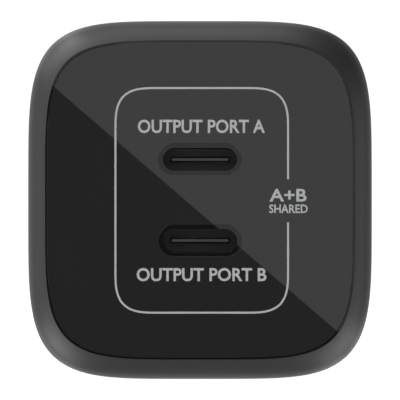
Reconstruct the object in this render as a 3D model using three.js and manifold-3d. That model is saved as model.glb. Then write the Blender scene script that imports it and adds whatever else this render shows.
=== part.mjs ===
// A twin-port wall charger with a folding two-blade plug, as an assembly of its separate pieces.
// Millimetres. +Z is up, +Y points into the wall and the ports face -Y. The origin lies on the wall plane,
// midway between the two blades.
import * as THREE from "three";
import { mergeVertices } from "three/addons/utils/BufferGeometryUtils.js";
import Module from "manifold-3d";

const wasm = await Module();
wasm.setup();

// ---------- driving dimensions ----------

// Body: a sleeve of rounded-square section, between the ports (front) and the wall plane at y = 0.
const BODY_WIDTH = 38.6;
const BODY_HEIGHT = 40.2;
const BODY_DEPTH = 50;
const BODY_DROP = 8.5; // the body's centre lies this far below the plug's axis
const SQUARENESS = 4.75; // exponent of the rounded square: 2 is an ellipse, 10 is nearly a box
const OUTLINE_STEPS = 72;
const WALL = 2;

// Front rim: the rounding runs from the side wall to the face plate, where it still slopes by RIM_SLOPE.
const RIM_WIDTH_X = 2.05;
const RIM_WIDTH_Z = 2.3;
const RIM_SLOPE = THREE.MathUtils.degToRad(28);
const REAR_ROUNDING = 0.9;

// Face plate, glued in a recess of the sleeve's front wall.
const PLATE_THICKNESS = 1.2;
const PLATE_SEAM = 0.18; // gap round the plate
const PLATE_SINK = 0.15; // the plate's face lies this far behind the rim
const GLUE_ROOM = 0.25;
const FRONT_WALL = 1.5;

// Ports: upright type-C receptacles, one above the other.
const PORT_PITCH = 9.07;
const PORT_COLLAR = [9.25, 3.58]; // width and height of the sunk ledge round each mouth
const PORT_MOUTH = [8.4, 2.62];
const SHELL_OUTSIDE = [8.94, 3.16];
const SHELL_INSIDE = [8.34, 2.56];
const SHELL_LENGTH = 8;
const TONGUE_WIDTH = 6.69;
const TONGUE_THICKNESS = 0.7;
const TONGUE_SETBACK = 0.7; // from the shell's mouth to the tongue's tip

// Plug: two flat blades in a carrier that turns about a hinge along X.
const BLADE_SPACING = 12.7;
const BLADE_WIDTH = 6.35;
const BLADE_THICKNESS = 1.5;
const BLADE_LENGTH = 17.3; // beyond the wall plane
const BLADE_HOLE_RADIUS = 1.6;
const BLADE_HOLE_PLACE = 11.9; // from the wall plane to the hole's centre
const BARREL_RADIUS = 3.9; // also the distance from the hinge to the wall plane
const BARREL_HALF_LENGTH = 9.6;
const TRUNNION_RADIUS = 1.5;
const TRUNNION_END = 12;
const RUNNING_GAP = 0.3;

// Rear cover: a plate in the sleeve's rear end, with pockets for the plug.
const COVER_THICKNESS = 2;
const COVER_LIP = 1.2; // wall left of the sleeve round the cover
const COVER_SEAM = 0.15;
const POCKET_DEPTH = 8.6; // from the wall plane to the back of the pocket walls

// Boards.
const PORT_BOARD_FRONT = -40.3;
const PORT_BOARD_THICKNESS = 1.2;
const MAIN_BOARD_TOP = -13; // from the body's centre
const MAIN_BOARD_THICKNESS = 1.6;
const MAIN_BOARD_FRONT = -38.4;
const MAIN_BOARD_REAR = -11.4;
const SOLDER_GAP = 0.2; // under the components

// ---------- worked-out places ----------

const FRONT = -BODY_DEPTH;
const HALF_WIDTH = BODY_WIDTH / 2;
const HALF_HEIGHT = BODY_HEIGHT / 2;
const PLATE_HALF_WIDTH = HALF_WIDTH - RIM_WIDTH_X - PLATE_SEAM / 2;
const PLATE_HALF_HEIGHT = HALF_HEIGHT - RIM_WIDTH_Z - PLATE_SEAM / 2;
const PLATE_FRONT = FRONT + PLATE_SINK;
const PLATE_BACK = PLATE_FRONT + PLATE_THICKNESS;
const RECESS_FLOOR = PLATE_BACK + GLUE_ROOM;
const CAVITY_FRONT = RECESS_FLOOR + FRONT_WALL;
const SHELL_FRONT = RECESS_FLOOR;
const SHELL_BACK = SHELL_FRONT + SHELL_LENGTH;
const PORT_BOARD_BACK = PORT_BOARD_FRONT + PORT_BOARD_THICKNESS;
const BOARD_BOTTOM = MAIN_BOARD_TOP - MAIN_BOARD_THICKNESS;
const PIVOT_Y = -BARREL_RADIUS;
const BLADE_X = BLADE_SPACING / 2;
const SIDES = [
  { side: "left", sign: -1 },
  { side: "right", sign: 1 },
];
const PORTS = [
  { port: "upper", sign: 1 },
  { port: "lower", sign: -1 },
];

// ---------- materials ----------

function finish(color, roughness, metalness = 0) {
  return new THREE.MeshStandardMaterial({ color, roughness, metalness });
}
const casePlastic = finish(0x2a2a2b, 0.5);
const glossPlastic = finish(0x141415, 0.06);
const plugPlastic = finish(0x1b1b1c, 0.55);
const nickel = finish(0xc9c6bf, 0.22, 1);
const springBronze = finish(0xb98a52, 0.35, 1);
const screwSteel = finish(0x8c8f93, 0.35, 1);
const shellSteel = finish(0x3a3b3e, 0.3, 1);
const moulding = finish(0x101011, 0.45);
const solderMask = finish(0x12402a, 0.4);
const chipResin = finish(0x1c1c1e, 0.6);
const ferrite = finish(0x3b3b3d, 0.7);
const copperWire = finish(0xa8592c, 0.35, 0.8);
const tapeFilm = finish(0xd9b64a, 0.35);
const capacitorSleeve = finish(0x23272f, 0.35);
const polymerCan = finish(0xb9bcc2, 0.3, 1);
const filmBox = finish(0xc8b23c, 0.5);
const discCoating = finish(0x2f6fae, 0.45);
const fuseCeramic = finish(0xd8d5c8, 0.5);
const aluminium = finish(0xb4b7bb, 0.4, 1);
const gapPad = finish(0x9aa3ad, 0.85);
const barrierFilm = finish(0xe6e1d2, 0.6);
const blackTape = finish(0x0e0e0f, 0.8);

// ---------- shapes ----------

const closed = (points) => new THREE.Shape(points);

// Points of a rounded square (a superellipse), anticlockwise. The half step leaves a flat at the middle of each side.
function roundedSquare(halfWidth, halfHeight) {
  const bend = (v) => Math.sign(v) * Math.abs(v) ** (2 / SQUARENESS);
  return Array.from({ length: OUTLINE_STEPS }, (_, i) => {
    const turn = ((i + 0.5) / OUTLINE_STEPS) * 2 * Math.PI;
    return new THREE.Vector2(
      halfWidth * bend(Math.cos(turn)),
      halfHeight * bend(Math.sin(turn)),
    );
  });
}

// A slot with round ends, as a shape centred on (x, z).
function stadium([width, height], x = 0, z = 0) {
  const radius = height / 2;
  const straight = width / 2 - radius;
  return new THREE.Shape()
    .absarc(x + straight, z, radius, -Math.PI / 2, Math.PI / 2)
    .absarc(x - straight, z, radius, Math.PI / 2, (3 * Math.PI) / 2);
}

function disc(radius, x = 0, y = 0) {
  return new THREE.Shape().absarc(x, y, radius, 0, 2 * Math.PI);
}

// A strip of even thickness along a line of [a, b] points, such as a bent leaf spring seen from its edge.
function ribbon(line, thickness) {
  const points = line.map(([a, b]) => new THREE.Vector2(a, b));
  const sideways = points.map((_, i) => {
    const from = points[Math.max(i - 1, 0)];
    const to = points[Math.min(i + 1, points.length - 1)];
    const along = to.clone().sub(from).normalize();
    return new THREE.Vector2(-along.y, along.x).multiplyScalar(thickness / 2);
  });
  const left = points.map((p, i) => p.clone().add(sideways[i]));
  const right = points.map((p, i) => p.clone().sub(sideways[i]));
  return closed([...right, ...left.reverse()]);
}

// ---------- solids ----------

function box([x0, x1], [y0, y1], [z0, z1]) {
  return new THREE.BoxGeometry(x1 - x0, y1 - y0, z1 - z0).translate(
    (x0 + x1) / 2,
    (y0 + y1) / 2,
    (z0 + z1) / 2,
  );
}

// A shape drawn in X and Z, as a slab from y0 to y1.
function alongY(shape, [y0, y1], curveSegments = 8) {
  return new THREE.ExtrudeGeometry(shape, {
    depth: y1 - y0,
    bevelEnabled: false,
    curveSegments,
  })
    .rotateX(Math.PI / 2)
    .translate(0, y1, 0);
}

// A shape drawn in Y and Z, as a bar from x0 to x1.
function alongX(shape, [x0, x1], curveSegments = 8) {
  const turn = new THREE.Matrix4().makeBasis(
    new THREE.Vector3(0, 1, 0),
    new THREE.Vector3(0, 0, 1),
    new THREE.Vector3(1, 0, 0),
  );
  return new THREE.ExtrudeGeometry(shape, {
    depth: x1 - x0,
    bevelEnabled: false,
    curveSegments,
  })
    .applyMatrix4(turn)
    .translate(x0, 0, 0);
}

// A solid of revolution about a vertical line, from [radius, height] points that start and end on the axis,
// or that close on themselves.
function turned(profile, segments = 20) {
  return new THREE.LatheGeometry(
    profile.map(([r, h]) => new THREE.Vector2(r, h)),
    segments,
  ).rotateX(Math.PI / 2);
}

// A rounded-square bar along Y whose size changes from station to station.
function loft(stations) {
  const position = [];
  const index = [];
  const rings = stations.map(({ halfWidth, halfHeight }) =>
    roundedSquare(halfWidth, halfHeight),
  );
  rings.forEach((ring, i) =>
    ring.forEach((p) => position.push(p.x, stations[i].y, p.y)),
  );
  const at = (i, j) => i * OUTLINE_STEPS + (j % OUTLINE_STEPS);
  const last = stations.length - 1;
  const frontMiddle = position.length / 3;
  position.push(0, stations[0].y, 0, 0, stations[last].y, 0);
  for (let j = 0; j < OUTLINE_STEPS; j++) {
    for (let i = 0; i < last; i++) {
      index.push(at(i, j), at(i + 1, j), at(i + 1, j + 1));
      index.push(at(i, j), at(i + 1, j + 1), at(i, j + 1));
    }
    index.push(frontMiddle, at(0, j), at(0, j + 1));
    index.push(frontMiddle + 1, at(last, j + 1), at(last, j));
  }
  return new THREE.BufferGeometry()
    .setAttribute("position", new THREE.Float32BufferAttribute(position, 3))
    .setIndex(index);
}

function roundedSquareBar(halfWidth, halfHeight, [y0, y1]) {
  return loft([
    { y: y0, halfWidth, halfHeight },
    { y: y1, halfWidth, halfHeight },
  ]);
}

// ---------- joining and cutting ----------

function solidOf(geometry) {
  const bare = new THREE.BufferGeometry()
    .setAttribute("position", geometry.getAttribute("position"))
    .setIndex(geometry.index);
  const merged = mergeVertices(bare, 1e-4);
  return new wasm.Manifold(
    new wasm.Mesh({
      numProp: 3,
      vertProperties: merged.attributes.position.array,
      triVerts: new Uint32Array(merged.index.array),
    }),
  );
}

function geometryOf(solid) {
  const mesh = solid.getMesh();
  return new THREE.BufferGeometry()
    .setAttribute("position", new THREE.BufferAttribute(mesh.vertProperties, 3))
    .setIndex(new THREE.BufferAttribute(mesh.triVerts, 1));
}

const join = (...parts) =>
  geometryOf(parts.map(solidOf).reduce((whole, part) => whole.add(part)));
const cut = (whole, ...tools) =>
  geometryOf(
    tools
      .map(solidOf)
      .reduce((left, tool) => left.subtract(tool), solidOf(whole)),
  );
const common = (a, b) => geometryOf(solidOf(a).intersect(solidOf(b)));

// ---------- the assembly ----------

const charger = new THREE.Group();
const body = new THREE.Group(); // origin on the body's centre line
body.position.z = -BODY_DROP;
const plug = new THREE.Group(); // origin on the hinge
plug.position.y = PIVOT_Y;
charger.add(body, plug);

function add(group, name, geometry, material, position = [0, 0, 0]) {
  const mesh = new THREE.Mesh(geometry, material);
  mesh.name = name;
  mesh.position.set(...position);
  group.add(mesh);
}

// ---------- sleeve ----------

function sleeve() {
  const [rimX, rimZ] = [RIM_WIDTH_X, RIM_WIDTH_Z].map(
    (width) => width / (1 - Math.sin(RIM_SLOPE)),
  );
  const rimY = (rimX + rimZ) / 2;
  const rimSteps = 5;
  const rim = Array.from({ length: rimSteps + 1 }, (_, i) => {
    const slope = THREE.MathUtils.lerp(RIM_SLOPE, Math.PI / 2, i / rimSteps);
    return {
      y: FRONT + rimY * (Math.cos(RIM_SLOPE) - Math.cos(slope)),
      halfWidth: HALF_WIDTH - rimX * (1 - Math.sin(slope)),
      halfHeight: HALF_HEIGHT - rimZ * (1 - Math.sin(slope)),
    };
  });
  const rearSteps = 3;
  const rear = Array.from({ length: rearSteps + 1 }, (_, i) => {
    const turn = ((i / rearSteps) * Math.PI) / 2;
    const inset = REAR_ROUNDING * (1 - Math.cos(turn));
    return {
      y: REAR_ROUNDING * (Math.sin(turn) - 1),
      halfWidth: HALF_WIDTH - inset,
      halfHeight: HALF_HEIGHT - inset,
    };
  });
  const beyond = 1;
  return cut(
    loft([...rim, ...rear]),
    roundedSquareBar(HALF_WIDTH - WALL, HALF_HEIGHT - WALL, [
      CAVITY_FRONT,
      beyond,
    ]),
    roundedSquareBar(HALF_WIDTH - COVER_LIP, HALF_HEIGHT - COVER_LIP, [
      -COVER_THICKNESS - COVER_SEAM,
      beyond,
    ]),
    roundedSquareBar(
      PLATE_HALF_WIDTH + PLATE_SEAM,
      PLATE_HALF_HEIGHT + PLATE_SEAM,
      [FRONT - beyond, RECESS_FLOOR],
    ),
    ...PORTS.map(({ sign }) =>
      alongY(
        stadium(
          SHELL_OUTSIDE.map((size) => size + 2 * COVER_SEAM),
          0,
          (sign * PORT_PITCH) / 2,
        ),
        [FRONT, CAVITY_FRONT + beyond],
      ),
    ),
  );
}

// Ribs on the side walls that the main board slides between.
function guideRibs() {
  const height = 0.8;
  const reach = 15.4;
  const above = [MAIN_BOARD_TOP + COVER_SEAM, MAIN_BOARD_TOP + COVER_SEAM + height];
  const below = [BOARD_BOTTOM - COVER_SEAM - height, BOARD_BOTTOM - COVER_SEAM];
  const span = [MAIN_BOARD_FRONT, MAIN_BOARD_REAR];
  const bury = HALF_WIDTH - WALL / 2;
  return [
    box([-bury, -reach], span, above),
    box([reach, bury], span, above),
    box([-bury + 0.7, -reach + 0.7], span, below),
    box([reach - 0.7, bury - 0.7], span, below),
  ];
}

add(body, "main_housing", join(sleeve(), ...guideRibs()), casePlastic);

// ---------- face plate and its glue film ----------

const portHoles = (size, span) =>
  PORTS.map(({ sign }) =>
    alongY(stadium(size, 0, (sign * PORT_PITCH) / 2), span),
  );
const collarDepth = 0.4;
add(
  body,
  "front_plate",
  cut(
    roundedSquareBar(PLATE_HALF_WIDTH, PLATE_HALF_HEIGHT, [
      PLATE_FRONT,
      PLATE_BACK,
    ]),
    ...portHoles(PORT_COLLAR, [PLATE_FRONT - 1, PLATE_FRONT + collarDepth]),
    ...portHoles(PORT_MOUTH, [PLATE_FRONT, PLATE_BACK + 1]),
  ),
  glossPlastic,
);

const filmInset = 0.6;
const filmSpan = [PLATE_BACK + 0.05, RECESS_FLOOR - 0.05];
add(
  body,
  "plate_adhesive",
  cut(
    roundedSquareBar(
      PLATE_HALF_WIDTH - filmInset,
      PLATE_HALF_HEIGHT - filmInset,
      filmSpan,
    ),
    ...portHoles([10.2, 4.6], [filmSpan[0] - 1, filmSpan[1] + 1]),
  ),
  blackTape,
);

// ---------- port board with its two receptacles ----------

function portShell() {
  const span = [SHELL_FRONT, SHELL_BACK];
  return cut(
    alongY(stadium(SHELL_OUTSIDE), span),
    alongY(stadium(SHELL_INSIDE), [span[0] - 1, span[1] + 1]),
  );
}

// The insulator that holds the contacts: a block in the shell's back end, and the tongue with its chamfered tip.
function portTongue() {
  const blockLength = 2;
  const tip = SHELL_FRONT + TONGUE_SETBACK;
  const chamfer = 0.2;
  const half = TONGUE_THICKNESS / 2;
  const profile = closed(
    [
      [tip, chamfer - half],
      [tip + chamfer, -half],
      [SHELL_BACK - 0.5, -half],
      [SHELL_BACK - 0.5, half],
      [tip + chamfer, half],
      [tip, half - chamfer],
    ].map(([y, z]) => new THREE.Vector2(y, z)),
  );
  return join(
    alongX(profile, [-TONGUE_WIDTH / 2, TONGUE_WIDTH / 2]),
    alongY(stadium(SHELL_INSIDE.map((size) => size - 0.1)), [
      SHELL_BACK - blockLength,
      SHELL_BACK,
    ]),
  );
}

for (const { port, sign } of PORTS) {
  const place = [0, 0, (sign * PORT_PITCH) / 2];
  add(body, `${port}_port_shell`, portShell(), shellSteel, place);
  add(body, `${port}_port_tongue`, portTongue(), moulding, place);
  add(
    body,
    `${port}_port_controller`,
    new THREE.BoxGeometry(5, 0.9, 5),
    chipResin,
    [-9.6, PORT_BOARD_FRONT - 0.6, sign * 4.6],
  );
  add(
    body,
    `${port}_port_inductor`,
    new THREE.BoxGeometry(6.6, 4.2, 6.6),
    ferrite,
    [9.8, PORT_BOARD_FRONT - SOLDER_GAP - 2.1, sign * 4.5],
  );
}

const boardTab = -16.4;
add(
  body,
  "port_board",
  join(
    box([-14.8, 14.8], [PORT_BOARD_FRONT, PORT_BOARD_BACK], [-15, 15]),
    box([-8, 8], [PORT_BOARD_FRONT, PORT_BOARD_BACK], [boardTab, -14]),
  ),
  solderMask,
);

// Round can with a crimped groove near its foot, standing along Z from z = 0.
function can(radius, height, groove) {
  return turned([
    [0, 0],
    [radius - 0.3, 0],
    [radius, 0.4],
    [radius, groove - 0.5],
    [radius - 0.35, groove],
    [radius, groove + 0.5],
    [radius, height - 0.4],
    [radius - 0.4, height],
    [0, height],
  ]);
}

[
  [-5, 11],
  [5, 11],
  [-5, -11],
  [5, -11],
].forEach(([x, z], i) =>
  add(
    body,
    `output_capacitor_${i + 1}`,
    can(3.1, 5.6, 1.4).rotateX(Math.PI / 2),
    polymerCan,
    [x, PORT_BOARD_FRONT - SOLDER_GAP, z],
  ),
);

add(
  body,
  "board_link",
  box(
    [-6.5, 6.5],
    [PORT_BOARD_BACK + 0.2, PORT_BOARD_BACK + 2.2],
    [boardTab, BOARD_BOTTOM - SOLDER_GAP],
  ),
  moulding,
);
add(
  body,
  "insulation_barrier",
  box(
    [-14.4, 14.4],
    [PORT_BOARD_BACK + 0.2, PORT_BOARD_BACK + 0.45],
    [MAIN_BOARD_TOP + 0.4, 15],
  ),
  barrierFilm,
);

// ---------- main board ----------

const SPRING_TAIL_Y = -12.2;
const SPRING_WIDTH = 3.2;
const SPRING_THICKNESS = 0.25;
add(
  body,
  "main_board",
  cut(
    box(
      [-15.2, 15.2],
      [MAIN_BOARD_FRONT, MAIN_BOARD_REAR],
      [BOARD_BOTTOM, MAIN_BOARD_TOP],
    ),
    ...SIDES.map(({ sign }) =>
      box(
        [
          sign * BLADE_X - SPRING_WIDTH / 2 - 0.25,
          sign * BLADE_X + SPRING_WIDTH / 2 + 0.25,
        ],
        [SPRING_TAIL_Y - 0.4, SPRING_TAIL_Y + 0.4],
        [BOARD_BOTTOM - 1, MAIN_BOARD_TOP + 1],
      ),
    ),
  ),
  solderMask,
);

// Components stand on the board: their geometry starts at z = 0.
const onBoard = (x, y) => [x, y, MAIN_BOARD_TOP + SOLDER_GAP];

const fuseRadius = 1.8;
add(
  body,
  "fuse",
  alongX(disc(fuseRadius), [-5, 5], 10),
  fuseCeramic,
  [-9.6, -15.2, MAIN_BOARD_TOP + SOLDER_GAP + fuseRadius],
);

// A coated disc on edge, its faces towards Y.
const coatedDisc = (radius, thickness) =>
  alongY(disc(radius), [-thickness / 2, thickness / 2], 10);
add(body, "surge_varistor", coatedDisc(4, 3.2), discCoating, [
  10.4,
  -15.1,
  MAIN_BOARD_TOP + SOLDER_GAP + 4,
]);
add(body, "y_capacitor", coatedDisc(3.6, 2.6), discCoating, [
  1.1,
  -23.3,
  MAIN_BOARD_TOP + SOLDER_GAP + 3.6,
]);
add(
  body,
  "x_capacitor",
  box([-2.7, 2.7], [-4.1, 4.1], [0, 11]),
  filmBox,
  onBoard(1.6, -17.6),
);

[
  ["front", -33.1],
  ["rear", -22.4],
].forEach(([place, y]) =>
  add(
    body,
    `bulk_capacitor_${place}`,
    can(5, 24, 3),
    capacitorSleeve,
    onBoard(10, y),
  ),
);

// Common-mode choke: a ferrite ring on edge, wound on its left and right sides, on a plastic base.
const chokePlace = [-8.6, -20.9, MAIN_BOARD_TOP + 8.1];
const ring = ([inner, outer], thickness) =>
  turned(
    [
      [inner, -thickness / 2],
      [outer, -thickness / 2],
      [outer, thickness / 2],
      [inner, thickness / 2],
      [inner, -thickness / 2],
    ],
    32,
  ).rotateX(Math.PI / 2);
add(body, "choke_core", ring([3, 5.6], 4.6), ferrite, chokePlace);
for (const { side, sign } of SIDES) {
  const half = sign < 0 ? [-7, -1.3] : [1.3, 7];
  add(
    body,
    `choke_winding_${side}`,
    common(
      cut(ring([2.1, 6.5], 6.4), ring([2.85, 5.75], 4.9)),
      box(half, [-4, 4], [-7, 7]),
    ),
    copperWire,
    chokePlace,
  );
}
add(
  body,
  "choke_base",
  box([-6, 6], [-3.4, 3.4], [0, 1]),
  moulding,
  onBoard(-8.6, -20.9),
);

// ---------- transformer ----------

const CORE = { width: 19.6, depth: 12.4, back: 3, leg: 2.8, post: 3.9 };
const WINDOW_HEIGHT = 14;
const CORE_GAP = 0.2; // between the two halves
const transformerPlace = [-5.2, -31.2];
function coreHalf() {
  const legHeight = (WINDOW_HEIGHT - CORE_GAP) / 2;
  const depth = [-CORE.depth / 2, CORE.depth / 2];
  const [inside, outside] = [CORE.width / 2 - CORE.leg, CORE.width / 2];
  const height = [0, CORE.back + legHeight];
  return join(
    box([-outside, outside], depth, [0, CORE.back]),
    box([-outside, -inside], depth, height),
    box([inside, outside], depth, height),
    turned([
      [0, 1],
      [CORE.post, 1],
      [CORE.post, CORE.back + legHeight],
      [0, CORE.back + legHeight],
    ]),
  );
}
const coreHeight = 2 * CORE.back + WINDOW_HEIGHT;
add(
  body,
  "transformer_core_lower",
  coreHalf(),
  ferrite,
  onBoard(...transformerPlace),
);
add(
  body,
  "transformer_core_upper",
  coreHalf().rotateX(Math.PI),
  ferrite,
  [...transformerPlace, MAIN_BOARD_TOP + SOLDER_GAP + coreHeight],
);
const spool = { tube: [4.1, 4.6], flange: 6.2, flangeThickness: 0.8, inset: 0.15 };
const spoolHeight = WINDOW_HEIGHT - 2 * spool.inset;
add(
  body,
  "transformer_bobbin",
  turned([
    [spool.tube[0], 0],
    [spool.flange, 0],
    [spool.flange, spool.flangeThickness],
    [spool.tube[1], spool.flangeThickness],
    [spool.tube[1], spoolHeight - spool.flangeThickness],
    [spool.flange, spoolHeight - spool.flangeThickness],
    [spool.flange, spoolHeight],
    [spool.tube[0], spoolHeight],
    [spool.tube[0], 0],
  ]),
  moulding,
  [...transformerPlace, MAIN_BOARD_TOP + SOLDER_GAP + CORE.back + spool.inset],
);
const windingHeight = spoolHeight - 2 * spool.flangeThickness - 0.2;
add(
  body,
  "transformer_winding",
  turned([
    [4.7, 0],
    [6.3, 0],
    [6.3, windingHeight],
    [4.7, windingHeight],
    [4.7, 0],
  ]),
  tapeFilm,
  [
    ...transformerPlace,
    MAIN_BOARD_TOP +
      SOLDER_GAP +
      CORE.back +
      spool.inset +
      spool.flangeThickness +
      0.1,
  ],
);

// ---------- underside of the main board: chips, gap pad and heat spreader ----------

const chipHeight = 0.9;
[
  ["bridge_rectifier", [8, 7], [-8, -16.8]],
  ["power_switch", [8, 8], [5, -27]],
  ["sync_rectifier", [6, 5], [-6, -33.4]],
].forEach(([name, [width, length], [x, y]]) =>
  add(
    body,
    name,
    new THREE.BoxGeometry(width, length, chipHeight),
    chipResin,
    [x, y, BOARD_BOTTOM - 0.1 - chipHeight / 2],
  ),
);
const padTop = BOARD_BOTTOM - 0.1 - chipHeight - 0.1;
const padThickness = 0.9;
add(
  body,
  "thermal_pad",
  box([-10.8, 10.8], [-36.6, -12.8], [padTop - padThickness, padTop]),
  gapPad,
);
const spreaderTop = padTop - padThickness - 0.1;
add(
  body,
  "heat_spreader",
  box([-11, 11], [-36.9, -12.5], [spreaderTop - 0.8, spreaderTop]),
  aluminium,
);

// ---------- rear cover ----------

const bay = {
  halfLength: BARREL_HALF_LENGTH + RUNNING_GAP,
  halfHeight: BARREL_RADIUS + RUNNING_GAP,
};
const slot = {
  halfWidth: BLADE_THICKNESS / 2 + 0.4,
  depth: BARREL_RADIUS + BLADE_WIDTH / 2 + 0.45,
  end: -(BARREL_RADIUS + BLADE_LENGTH + 0.9),
};
const BOSS = { x: 11.5, z: -8, radius: 2.1 };
const saddleRadius = TRUNNION_RADIUS + 0.2;

// The span of x between two distances from the middle, on the left (-1) or right (+1) side.
const sideSpan = (sign, near, far) => (sign < 0 ? [-far, -near] : [near, far]);

function rearCover() {
  // a bar that leaves this much of the body's outline
  const inset = (gap, span) =>
    roundedSquareBar(HALF_WIDTH - gap, HALF_HEIGHT - gap, span).translate(
      0,
      0,
      -BODY_DROP,
    );
  const plate = inset(COVER_LIP + COVER_SEAM, [-COVER_THICKNESS, 0]);
  const spigotWall = 1.2;
  const spigotEnd = -COVER_THICKNESS - 3;
  const spigot = cut(
    inset(WALL + COVER_SEAM, [spigotEnd, -1]),
    inset(WALL + COVER_SEAM + spigotWall, [spigotEnd - 1, 0]),
  );
  const pocketWall = 1.1;
  const walls = [
    box([-13.4, 13.4], [-POCKET_DEPTH, -1], [-5.4, 5.6]),
    box([-9.6, 9.6], [-5, -1], [-24, -11]),
    ...SIDES.flatMap(({ sign }) => [
      box(
        [
          sign * BLADE_X - slot.halfWidth - pocketWall,
          sign * BLADE_X + slot.halfWidth + pocketWall,
        ],
        [-POCKET_DEPTH, -1],
        [slot.end - pocketWall, -5],
      ),
      alongY(disc(BOSS.radius, sign * BOSS.x, BOSS.z), [-POCKET_DEPTH, -1], 8),
    ]),
  ];
  const hollows = [
    box(
      [-bay.halfLength, bay.halfLength],
      [-POCKET_DEPTH - 1, 1],
      [-bay.halfHeight, bay.halfHeight],
    ),
    // a finger scoop across both blade tips, to lift the folded blades
    alongX(disc(6.5, 4, -17.6), [-8.8, 8.8], 24),
    ...SIDES.flatMap(({ sign }) => [
      box(
        [sign * BLADE_X - slot.halfWidth, sign * BLADE_X + slot.halfWidth],
        [-slot.depth, 1],
        [slot.end, 0],
      ),
      // an open-backed saddle for the carrier's trunnion
      box(
        sideSpan(sign, 9, TRUNNION_END + RUNNING_GAP),
        [-POCKET_DEPTH - 1, PIVOT_Y],
        [-saddleRadius, saddleRadius],
      ),
      alongX(
        disc(saddleRadius, PIVOT_Y, 0),
        sideSpan(sign, 9, TRUNNION_END + RUNNING_GAP),
      ),
      alongY(disc(1, sign * BOSS.x, BOSS.z), [-POCKET_DEPTH - 1, -3], 6),
    ]),
  ];
  return cut(
    [plate, spigot, ...walls].reduce((a, b) => join(a, b)),
    ...hollows,
  );
}
add(charger, "rear_cover", rearCover(), casePlastic);

// ---------- hinge keeper, its screws and the springs ----------

const KEEPER_FRONT = -POCKET_DEPTH - 0.2;
const KEEPER_THICKNESS = 1.5;
const keeperSpan = [KEEPER_FRONT - KEEPER_THICKNESS, KEEPER_FRONT];
function hingeKeeper() {
  const through = [keeperSpan[0] - 1, keeperSpan[1] + 1];
  const fingerTip = PIVOT_Y - TRUNNION_RADIUS - 0.2;
  const blocks = [box([-13.4, 13.4], keeperSpan, [-5.2, 5.4])];
  const holes = [];
  for (const { sign } of SIDES) {
    const windowHalf = SPRING_WIDTH / 2 + 0.5;
    blocks.push(
      box(sideSpan(sign, BOSS.x - 2.2, 13.4), keeperSpan, [BOSS.z - 2.2, -5]),
      box(
        sideSpan(sign, 10.2, TRUNNION_END),
        [KEEPER_FRONT - 0.5, fingerTip],
        [-1.4, 1.4],
      ),
    );
    holes.push(
      box(
        sideSpan(sign, BLADE_X - windowHalf, BLADE_X + windowHalf),
        through,
        [-4.2, 3.8],
      ),
      alongY(disc(1.05, sign * BOSS.x, BOSS.z), through, 6),
    );
  }
  return cut(
    blocks.reduce((a, b) => join(a, b)),
    ...holes,
  );
}
add(charger, "hinge_keeper", hingeKeeper(), plugPlastic);

for (const { side, sign } of SIDES) {
  const head = turned([
    [0, 0],
    [0.8, 0],
    [0.8, 5],
    [1.7, 5],
    [1.7, 5.6],
    [1.2, 6.3],
    [0, 6.3],
  ], 16).rotateX(Math.PI / 2);
  add(charger, `${side}_keeper_screw`, head, screwSteel, [
    sign * BOSS.x,
    KEEPER_FRONT - KEEPER_THICKNESS - 0.1 + 5,
    BOSS.z,
  ]);
}

// The springs' bowed fronts stand just clear of the carrier. On the real object they press on it and flex.
const BOW = -2 * BARREL_RADIUS - 0.15 - SPRING_THICKNESS / 2;
const contactLine = [
  [BOW - 0.9, 3.2],
  [BOW - 0.2, 1.6],
  [BOW, 0],
  [BOW - 0.2, -1.4],
  [BOW - 0.9, -2.6],
  [BOW - 2.6, -3.2],
  [SPRING_TAIL_Y + 0.2, -3.6],
  [SPRING_TAIL_Y, -4.4],
  [SPRING_TAIL_Y, -BODY_DROP + BOARD_BOTTOM - 0.9],
];
const bladeSpan = (sign, width) => [
  sign * BLADE_X - width / 2,
  sign * BLADE_X + width / 2,
];
for (const { side, sign } of SIDES) {
  add(
    charger,
    `${side}_contact_spring`,
    alongX(ribbon(contactLine, SPRING_THICKNESS), bladeSpan(sign, SPRING_WIDTH)),
    springBronze,
  );
}
const detentLine = [
  [BOW - 0.5, 3.5],
  [BOW - 0.2, 1.8],
  [BOW, 0.7],
  [BOW, -0.7],
  [BOW - 0.2, -1.8],
  [BOW - 0.5, -3.5],
];
add(
  charger,
  "detent_spring",
  alongX(ribbon(detentLine, SPRING_THICKNESS), [-1.6, 1.6]),
  screwSteel,
);

// ---------- the folding plug ----------

// Inside the carrier a blade narrows to a root, which reaches the barrel's back where its spring presses.
const ROOT_HALF_WIDTH = 2.2;
const SHOULDER = BARREL_RADIUS - 1.2;
const MOULDED_GAP = 0.1;

function blade() {
  const half = BLADE_WIDTH / 2;
  const tip = BARREL_RADIUS + BLADE_LENGTH;
  const corner = 1.4;
  const outline = closed(
    [
      [-BARREL_RADIUS + 0.7, -ROOT_HALF_WIDTH],
      [SHOULDER, -ROOT_HALF_WIDTH],
      [SHOULDER, -half],
      [tip - corner, -half],
      [tip, -half + corner * 1.2],
      [tip, half - corner * 1.2],
      [tip - corner, half],
      [SHOULDER, half],
      [SHOULDER, ROOT_HALF_WIDTH],
      [-BARREL_RADIUS + 0.7, ROOT_HALF_WIDTH],
      [-BARREL_RADIUS + 0.1, 0.8],
      [-BARREL_RADIUS + 0.1, -0.8],
    ].map(([y, z]) => new THREE.Vector2(y, z)),
  );
  outline.holes.push(
    new THREE.Path().absarc(
      BARREL_RADIUS + BLADE_HOLE_PLACE,
      0,
      BLADE_HOLE_RADIUS,
      0,
      2 * Math.PI,
    ),
  );
  return alongX(outline, [-BLADE_THICKNESS / 2, BLADE_THICKNESS / 2], 10);
}

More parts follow.
